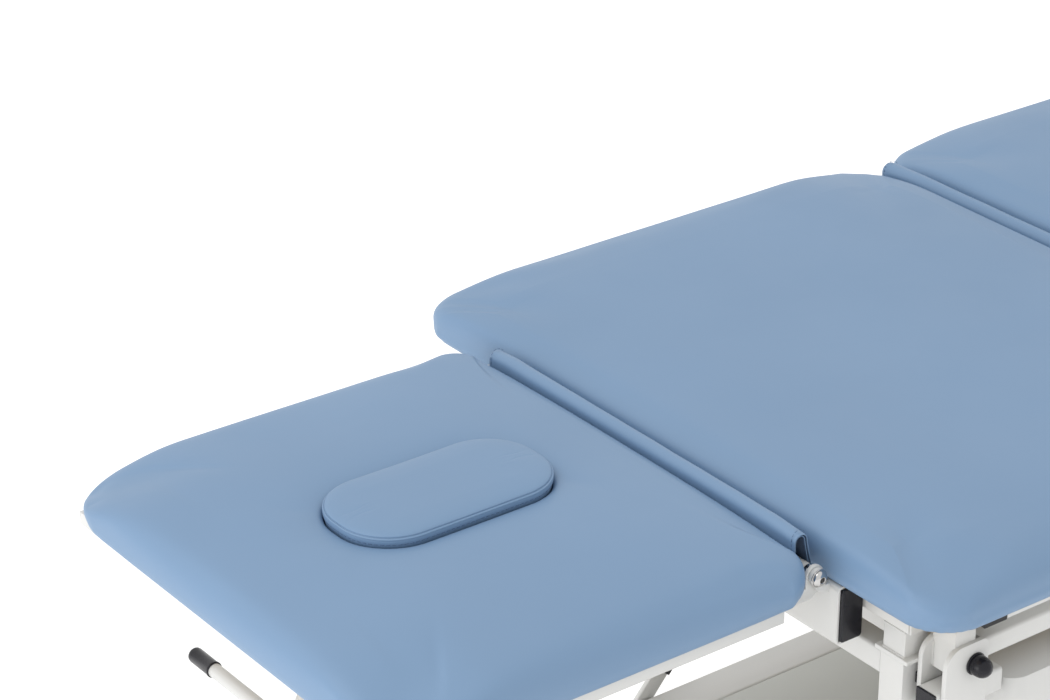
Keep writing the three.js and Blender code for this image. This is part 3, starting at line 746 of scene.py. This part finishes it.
# ---------------------------------------------------------------- folded hinge flaps

HEM = 4.0                        # the stitches' distance from a flap's end, in millimetres
LINING_GAP = 2.0                 # from a flap's middle surface to its lining's


def folded_section(half, foot, crest, flare, steps=10):
    """Points across an inverted U, from its half width, the heights of its feet and its crest, and how far
    its high x foot spreads."""
    mid = foot * 0.6 + crest * 0.4
    section = [(-half - 0.1 * flare, foot), (-half, mid), (-half * 0.98, crest - half * 1.6)]
    for i in range(steps + 1):
        turn = math.pi - math.pi * i / steps
        section.append((half * math.cos(turn), crest - half + half * math.sin(turn)))
    spread = [(half + 0.08 * flare, crest - half * 1.7), (half + 0.45 * flare, mid), (half + flare, foot)]
    return section + spread


def folded_strip(name, section, centre_x, reach, thickness):
    """A strip of vinyl folded to a section, from one y to another, tucked down a little at its ends; its
    back is the woven side, its colour darkened as painted shade inside the fold."""
    foot = min(z for _, z in section)
    crest = max(z for _, z in section)
    rows = 90
    points, faces = [], []
    for k in range(rows + 1):
        y = reach[0] + (reach[1] - reach[0]) * k / rows
        ripple = 0.7 * noise.noise(Vector((y * 0.02, centre_x, 3.0)))
        sway = 0.8 * noise.noise(Vector((y * 0.012, centre_x, 7.0)))
        tuck = 2.5 * max(0.0, abs(y) / reach[1] - 0.86) / 0.14
        for x, z in section:
            share = (z - foot) / (crest - foot)
            points.append(at(centre_x + x + sway * share, y, z + (ripple - tuck) * share))
    count = len(section)
    for k in range(rows):
        for i in range(count - 1):
            a = k * count + i
            faces.append((a, a + 1, a + count + 1, a + count))
    # The strip's back takes the dark backing, painted shade inside the fold.
    strip = new_piece(name, mesh_from(name, points, faces), VINYL, PAINTED_SHADE_BACKING)
    thick = strip.modifiers.new("thickness", "SOLIDIFY")
    thick.thickness = thickness
    thick.offset = 0
    thick.material_offset = 1
    thick.material_offset_rim = 0
    round_over(strip)
    return strip


def end_stitches(name, section, centre_x, reach):
    """A row of thread across each hemmed end of a folded strip."""
    foot = min(z for _, z in section)
    seams = []
    for y in (reach[0] + HEM, reach[1] - HEM):
        line = [at(centre_x + x * 1.1, y, z + (0.7 if z > foot + 8 else 0)) for x, z in section[1:-1]]
        seams += stitches_along(line, 2.8 * MM, 1.6 * MM, 0.26 * MM, closed=False)
    return joined(name, seams, THREAD)


def make_flap(name, centre_x, half, foot, crest, flare, reach):
    """A double strip of vinyl folded over a hinge gap, hemmed and stitched at both ends."""
    outer = folded_section(half, foot, crest, flare)
    inner = folded_section(half - LINING_GAP, foot + 1, crest - LINING_GAP, flare)
    flap = folded_strip(name, outer, centre_x, reach, 1.5 * MM)
    short = (reach[0] + 1, reach[1] - 1)
    # The lining's woven back is darkened as painted shade inside the fold.
    lining = folded_strip(f"{name}_lining", inner, centre_x, short, 1.3 * MM)
    stitching = end_stitches(f"{name}_stitching", outer, centre_x, reach)
    for piece in (flap, lining, stitching):
        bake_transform(piece)
    return flap


def make_flaps():
    head = make_flap(
        "head_flap", centre_x=-5.0, half=7.2, foot=-36.0, crest=3.4, flare=7.0, reach=(-225.0, 217.0))
    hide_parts("head_hinge_flap")
    hinge = (FOOT_HINGE_X - HINGE_X) / MM
    foot = make_flap(
        "foot_flap", centre_x=hinge - 0.4, half=9.3, foot=-38.0, crest=-6.0, flare=1.0, reach=(-342.0, 342.0))
    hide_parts("foot_hinge_flap")


# ---------------------------------------------------------------- pivot bolts and black caps

def make_pivot_bolt(side_name, side):
    """Domed screw with a socket in its head, on a washer, and the bush behind it."""
    low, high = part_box(f"head_pivot_bolt_{side_name}")
    outer = high.y if side > 0 else -low.y
    axis = Vector((0, side, 0))
    middle = Vector(((low.x + high.x) / 2, 0, (low.z + high.z) / 2))
    seat = middle + axis * (outer - 5.6 * MM)
    washer = turned(seat, axis, ((0.2, 3.0), (0.2, 8.4), (0.4, 8.6), (0.9, 8.6), (1.2, 8.3), (1.2, 3.0)), 48)
    head = turned(seat, axis, (
        (1.0, 2.0), (1.0, 6.9), (1.5, 7.5), (2.4, 7.5), (3.6, 6.9), (4.6, 5.9), (5.3, 4.6), (5.7, 3.4),
        (5.7, 2.9), (5.4, 2.6), (3.0, 2.5)), 48)
    socket = turned(seat, axis, ((2.6, 0.5), (2.6, 2.9), (3.05, 2.9), (3.05, 0.5)), 6)
    shank = turned(middle, axis, (
        (229, 0.5), (229, 7.4), (229.6, 8), (233.6, 8), (234.2, 7.4), (234.2, 4.9), (243.2, 4.9),
        (243.2, 0.5)), 32)
    bolt = joined(f"pivot_bolt_{side_name}", [washer, head, (*socket, 1), shank], CHROME, STEEL)
    soften(bolt, 0.15 * MM)
    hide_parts(f"head_pivot_bolt_{side_name}")
    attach(bolt, "top_frame")


def make_pivot_cap(side_name, side):
    """Domed black cap over a nut, with its flange."""
    low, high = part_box(f"pivot_cap_{side_name}")
    axis = Vector((0, side, 0))
    inner = low.y if side > 0 else -high.y
    seat = Vector(((low.x + high.x) / 2, side * inner, (low.z + high.z) / 2))
    flange = turned(seat, axis, ((0, 2), (0, 10.3), (0.3, 10.6), (1.2, 10.6), (1.7, 10.0), (1.7, 2)), 40)
    dome = turned(seat, axis, (
        (1.4, 2), (1.4, 9.4), (1.8, 9.8), (7.6, 9.7), (10.4, 9.3), (12.8, 8.4), (15.0, 6.8), (16.8, 4.6),
        (17.8, 2.4), (18.1, 0.8)), 40)
    cap = joined(f"domed_cap_{side_name}", [flange, dome], BLACK)
    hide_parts(f"pivot_cap_{side_name}")
    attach(cap, "top_frame")


def make_grip(side_name, side):
    """Black push-on cap over the end of the release bar."""
    low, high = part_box(f"release_grip_{side_name}")
    inner = low.y if side > 0 else -high.y
    seat = Vector(((low.x + high.x) / 2, side * inner, (low.z + high.z) / 2))
    grip = joined(f"grip_{side_name}", [turned(seat, (0, side, 0), (
        (0, 6.9), (0, 7.5), (0.5, 7.9), (2.2, 7.9), (2.8, 7.5), (31, 7.6), (33.4, 7.2), (35, 6.0),
        (35.6, 3.4), (35.6, 0.1)), 40)], BLACK)
    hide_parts(f"release_grip_{side_name}")
    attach(grip, "release_bar")


# ---------------------------------------------------------------- blocks, plugs, hardware and welds

def box_part(low, high):
    (x0, y0, z0), (x1, y1, z1) = low, high
    corners = [(x, y, z) for x in (x0, x1) for y in (y0, y1) for z in (z0, z1)]
    faces = [(0, 1, 3, 2), (4, 6, 7, 5), (0, 4, 5, 1), (2, 3, 7, 6), (0, 2, 6, 4), (1, 5, 7, 3)]
    return [Vector(c) for c in corners], faces


def side_box(side, x, y, z):
    """A block given in millimetres on the left side, or mirrored to the right."""
    ys = sorted((side * y[0], side * y[1]))
    return box_part(at(x[0], ys[0], z[0]), at(x[1], ys[1], z[1]))


def trim(name, body, material, part, ease=0.8):
    """A small block with eased edges, fixed to a body."""
    piece = joined(name, [part], material, smooth=False)
    soften(piece, ease * MM, 3)
    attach(piece, body)


def make_trims():
    """Rubber buffers, post feet, spacers and plugs in the open tube ends."""
    floor = -TOP_Z / MM
    for name, side in SIDES:
        trim(f"buffer_{name}", "top_frame", RUBBER,
             side_box(side, (76, 102.6), (330, 369.5), (-52.5, -45.2)))
        trim(f"short_tube_plug_{name}", "top_frame", BLACK,
             side_box(side, (47.4, 49.8), (321, 344), (-145.6, -122.4)))
        trim(f"spacer_{name}", "top_frame", BLACK,
             side_box(side, (57, 70), (309.5, 314.6), (-128, -117)))
        trim(f"post_foot_{name}", "top_frame", BLACK,
             side_box(side, (43, 71.5), (280.5, 308.5), (-177, -172.2)))
        trim(f"front_tube_plate_{name}", "top_frame", WHITE,
             side_box(side, (43.8, 72.2), (312.2, 314.6), (-74.2, -45.6)))
        trim(f"foot_rail_plug_{name}", "foot_section", BLACK,
             side_box(side, (1400.2, 1402.6), (306.6, 336), (-69.4, -45.4)))
        for end, x in (("head", (-62.6, -60.2)), ("foot", (1100.2, 1102.6))):
            trim(f"base_tube_plug_{end}_{name}", "base", BLACK,
                 side_box(side, x, (281.8, 330.2), (floor + 20.8, floor + 69.2)), 1.2)


def hex_bolt(name, centre, side, across, body):
    """Hexagon head on a washer, standing out from a face along Y."""
    axis = Vector((0, side, 0))
    washer = turned(centre, axis, ((0.1, 2), (0.1, across * 0.68), (1.3, across * 0.68), (1.3, 2)), 32)
    head = turned(centre, axis, (
        (1.2, 2), (1.2, across * 0.56), (5.0, across * 0.56), (5.9, across * 0.47), (5.9, 0.5)), 6)
    bolt = joined(name, [washer, head], CHROME, smooth=False)
    soften(bolt, 0.25 * MM)
    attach(bolt, body)


HEAD_PIVOT_DROP = 35             # how far the head pivot lies below the cushions' top, in millimetres


def make_pivot_barrels():
    """The sleeves on the head pivot's pins, seen below the ends of the flap."""
    for name, side in SIDES:
        start = at(0, side * 234.1, -HEAD_PIVOT_DROP)
        barrel = joined(f"pivot_barrel_{name}", [turned(
            start, (0, -side, 0), ((0, 6.4), (0.6, 7), (35.4, 7), (36, 6.4)), 32)], WHITE)
        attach(barrel, "top_frame")


def pivot_places():
    """The lift arms' pivots, as (name, x, z) on the base and on the top frame, from the record's joints."""
    joints = frame["record"]["behaviour"]["joints"]
    places = {joint["name"]: joint["pos_m"] for joint in joints if "pos_m" in joint}
    front, rear, top = places["lift"], places["rear_arm_pivot"], places["top_level"]
    on_base = (("front", front[0], front[2]), ("rear", rear[0], rear[2]))
    on_top = (("front", top[0], top[2]), ("rear", top[0] + rear[0] - front[0], top[2]))
    return on_base, on_top


ARM_BOLT_ACROSS = 19             # the arm bolts' hexagons, across the flats


def make_pivot_hardware():
    """Bolts at the lift arms' pivots, on the base's side tubes and on the side beams."""
    on_base, on_top = pivot_places()
    for name, side in SIDES:
        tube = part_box(f"base_side_tube_{name}")
        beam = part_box(f"main_beam_{name}")
        base_y = tube[1].y if side > 0 else tube[0].y
        beam_y = beam[1].y if side > 0 else beam[0].y
        for end, x, z in on_base:
            hex_bolt(f"base_bolt_{end}_{name}", (x, base_y - side * 0.5 * MM, z), side,
                     ARM_BOLT_ACROSS, "base")
        for end, x, z in on_top:
            hex_bolt(f"beam_bolt_{end}_{name}", (x, beam_y, z), side, ARM_BOLT_ACROSS, "top_frame")


def weld_bead(start, stop, radius):
    """A rippled bead of weld along a corner."""
    start, stop = Vector(start), Vector(stop)
    steps = max(6, int((stop - start).length / (1.1 * MM)))
    axis = (stop - start).normalized()
    rings = []
    for k in range(steps + 1):
        wide = radius * (0.82 + 0.18 * (k % 2)) * (0.6 if k in (0, steps) else 1)
        rings.append(ring_about(start.lerp(stop, k / steps), axis, wide, 8))
    return loft(rings)


WELD_RADIUS = 1.3 * MM

# Both ends of each bead, on the left side, from the post and its plate to the bracket and the side rail.
WELDS = (
    ((44.3, 281, -75.2), (70.7, 281, -75.2)), ((44, 281.3, -75.2), (44, 307.7, -75.2)),
    ((44, 281, -99.8), (44, 308, -99.8)), ((44, 281, -99.8), (71, 281, -99.8)),
    ((42.4, 280.5, -104.2), (42.4, 308.5, -104.2)),
    ((56, 320.3, -145), (101, 320.3, -145)), ((56, 344.7, -145), (101, 344.7, -145)),
    ((66, 320.2, -108), (66, 320.2, -84)), ((90, 344.8, -108), (90, 344.8, -84)),
    ((120, 327.2, -84.8), (588, 327.2, -84.8)),
    ((230, 343.2, -105.2), (260, 343.2, -105.2)), ((560, 343.2, -105.2), (590, 343.2, -105.2)))


def make_welds():
    """Beads where the top frame's tubes, plates and posts meet."""
    for name, side in SIDES:
        beads = [
            weld_bead(*(at(x, side * y, z) for x, y, z in ends), WELD_RADIUS)
            for ends in WELDS]
        piece = joined(f"welds_{name}", beads, WHITE)
        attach(piece, "top_frame")


def make_inlet():
    """Contact pins in the control box's inlet socket."""
    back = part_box("control_box")[1].x
    low, high = frame["record"]["physics"]["openings"][0]["box_m"]
    middle_y, middle_z = (low[1] + high[1]) / 2, (low[2] + high[2]) / 2
    pins = [box_part((back - 21 * MM, middle_y + dy * MM - 0.9 * MM, middle_z + dz * MM - 2 * MM),
                     (back - 9 * MM, middle_y + dy * MM + 0.9 * MM, middle_z + dz * MM + 2 * MM))
            for dy, dz in ((-7, -1.5), (0, 2), (7, -1.5))]
    piece = joined("inlet_pins", pins, CHROME, smooth=False)
    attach(piece, "base")


def leaning_block(centre, along, lengths):
    """A block set along a slope in the XZ plane, in millimetres: where its two ends lie, half its thickness,
    and where its two sides lie."""
    up = Vector((-along.z, 0, along.x))
    (a0, a1), half, (u0, u1) = lengths
    corners = [centre + (along * a + up * u + Vector((0, y, 0))) * MM
               for y in (-half, half) for a, u in ((a0, u0), (a1, u0), (a1, u1), (a0, u1))]
    faces = [(0, 1, 2, 3), (7, 6, 5, 4), (0, 4, 5, 1), (1, 5, 6, 2), (2, 6, 7, 3), (3, 7, 4, 0)]
    return corners, faces


PEDAL_SLOPE = math.radians(49)
PEDAL_END = 10 * MM              # radius of the lever's round end


def make_pedal_pad():
    """Ribbed rubber sleeve on the pedal's end."""
    low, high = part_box("pedal_lever")
    along = Vector((math.cos(PEDAL_SLOPE), 0, math.sin(PEDAL_SLOPE)))
    centre = Vector((high.x - PEDAL_END, (low.y + high.y) / 2, high.z - PEDAL_END))
    blocks = [leaning_block(centre, along, ((-18, 11.5), 4.4, (-11.4, 11.4)))]
    blocks += [leaning_block(centre, along, ((k, k + 2), 4.2, (11, 12.4))) for k in range(-15, 10, 5)]
    pad = joined("pedal_pad", blocks, RUBBER, smooth=False)
    soften(pad, 0.5 * MM)
    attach(pad, "pedal")


# ---------------------------------------------------------------- the CAD pieces' own finishes

# How far the edges are rounded in each material, in millimetres, and the pieces that are made anew instead.
EASED = {"white_steel": 1.3, "black_plastic": 0.9, "grey_plastic": 1.6, "plywood": 0.6}
REMADE = ("head_pivot_bolt", "pivot_cap", "release_grip")
COVER_OVER_BOARD = 11 * MM       # how far the head cushion's corners stand out past its board's


def finish_of(entry):
    # The base deck takes the darkened powder coat, painted shade for the shadow under the table.
    return DECK_PAINTED_SHADE if entry["node"] == "base_deck" else FINISH[entry["material_slot"]]


def rounded_ends(mesh, radius):
    """The head board's far corners drawn in to the cushion's rounder corners."""
    for vertex in mesh.vertices:
        for side in (1, -1):
            edge = head_high.y if side > 0 else -head_low.y
            centre = Vector((head_low.x + radius, side * (edge - radius)))
            away = Vector((vertex.co.x, vertex.co.y)) - centre
            reach = radius - COVER_OVER_BOARD
            if away.x < 0 and away.y * side > 0 and away.length > reach:
                vertex.co.xy = centre + away.normalized() * reach


def eased_copy(node, body, finish, width):
    """The CAD piece again with its flat faces whole and its edges rounded."""
    source = frame["nodes"][node]
    made = bmesh.new()
    made.from_mesh(source.data)
    bmesh.ops.remove_doubles(made, verts=made.verts, dist=1e-6)
    bmesh.ops.dissolve_limit(made, angle_limit=math.radians(0.6), verts=made.verts, edges=made.edges)
    mesh = bpy.data.meshes.new(f"{node}_eased")
    made.to_mesh(mesh)
    made.free()
    mesh.transform(source.matrix_world)
    if node == "head_board":
        rounded_ends(mesh, HEAD_CORNER * MM)
    piece = new_piece(f"{node}_eased", mesh, finish)
    soften(piece, width * MM)
    piece.modifiers["bevel"].harden_normals = True
    piece.modifiers["bevel"].use_clamp_overlap = True
    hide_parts(node)
    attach(piece, body)


def dress_frame():
    """Finishes on the CAD pieces, and eased copies of the hard ones."""
    record = frame["record"]
    body_of = {node: body for body, nodes in record["behaviour"]["bodies"].items() for node in nodes}
    for entry in record["subparts"]:
        node, slot_name = entry["node"], entry["material_slot"]
        piece = frame["nodes"].get(node)
        if piece is None:
            continue
        piece.data.materials.clear()
        piece.data.materials.append(finish_of(entry))
        if slot_name in EASED and not node.startswith(REMADE):
            eased_copy(node, body_of[node], finish_of(entry), EASED[slot_name])


dress_frame()
make_cushions()
make_plug()
make_flaps()
for side_name, side in SIDES:
    make_pivot_bolt(side_name, side)
    make_pivot_cap(side_name, side)
    make_grip(side_name, side)
make_trims()
make_pivot_barrels()
make_pivot_hardware()
make_welds()
make_inlet()
make_pedal_pad()
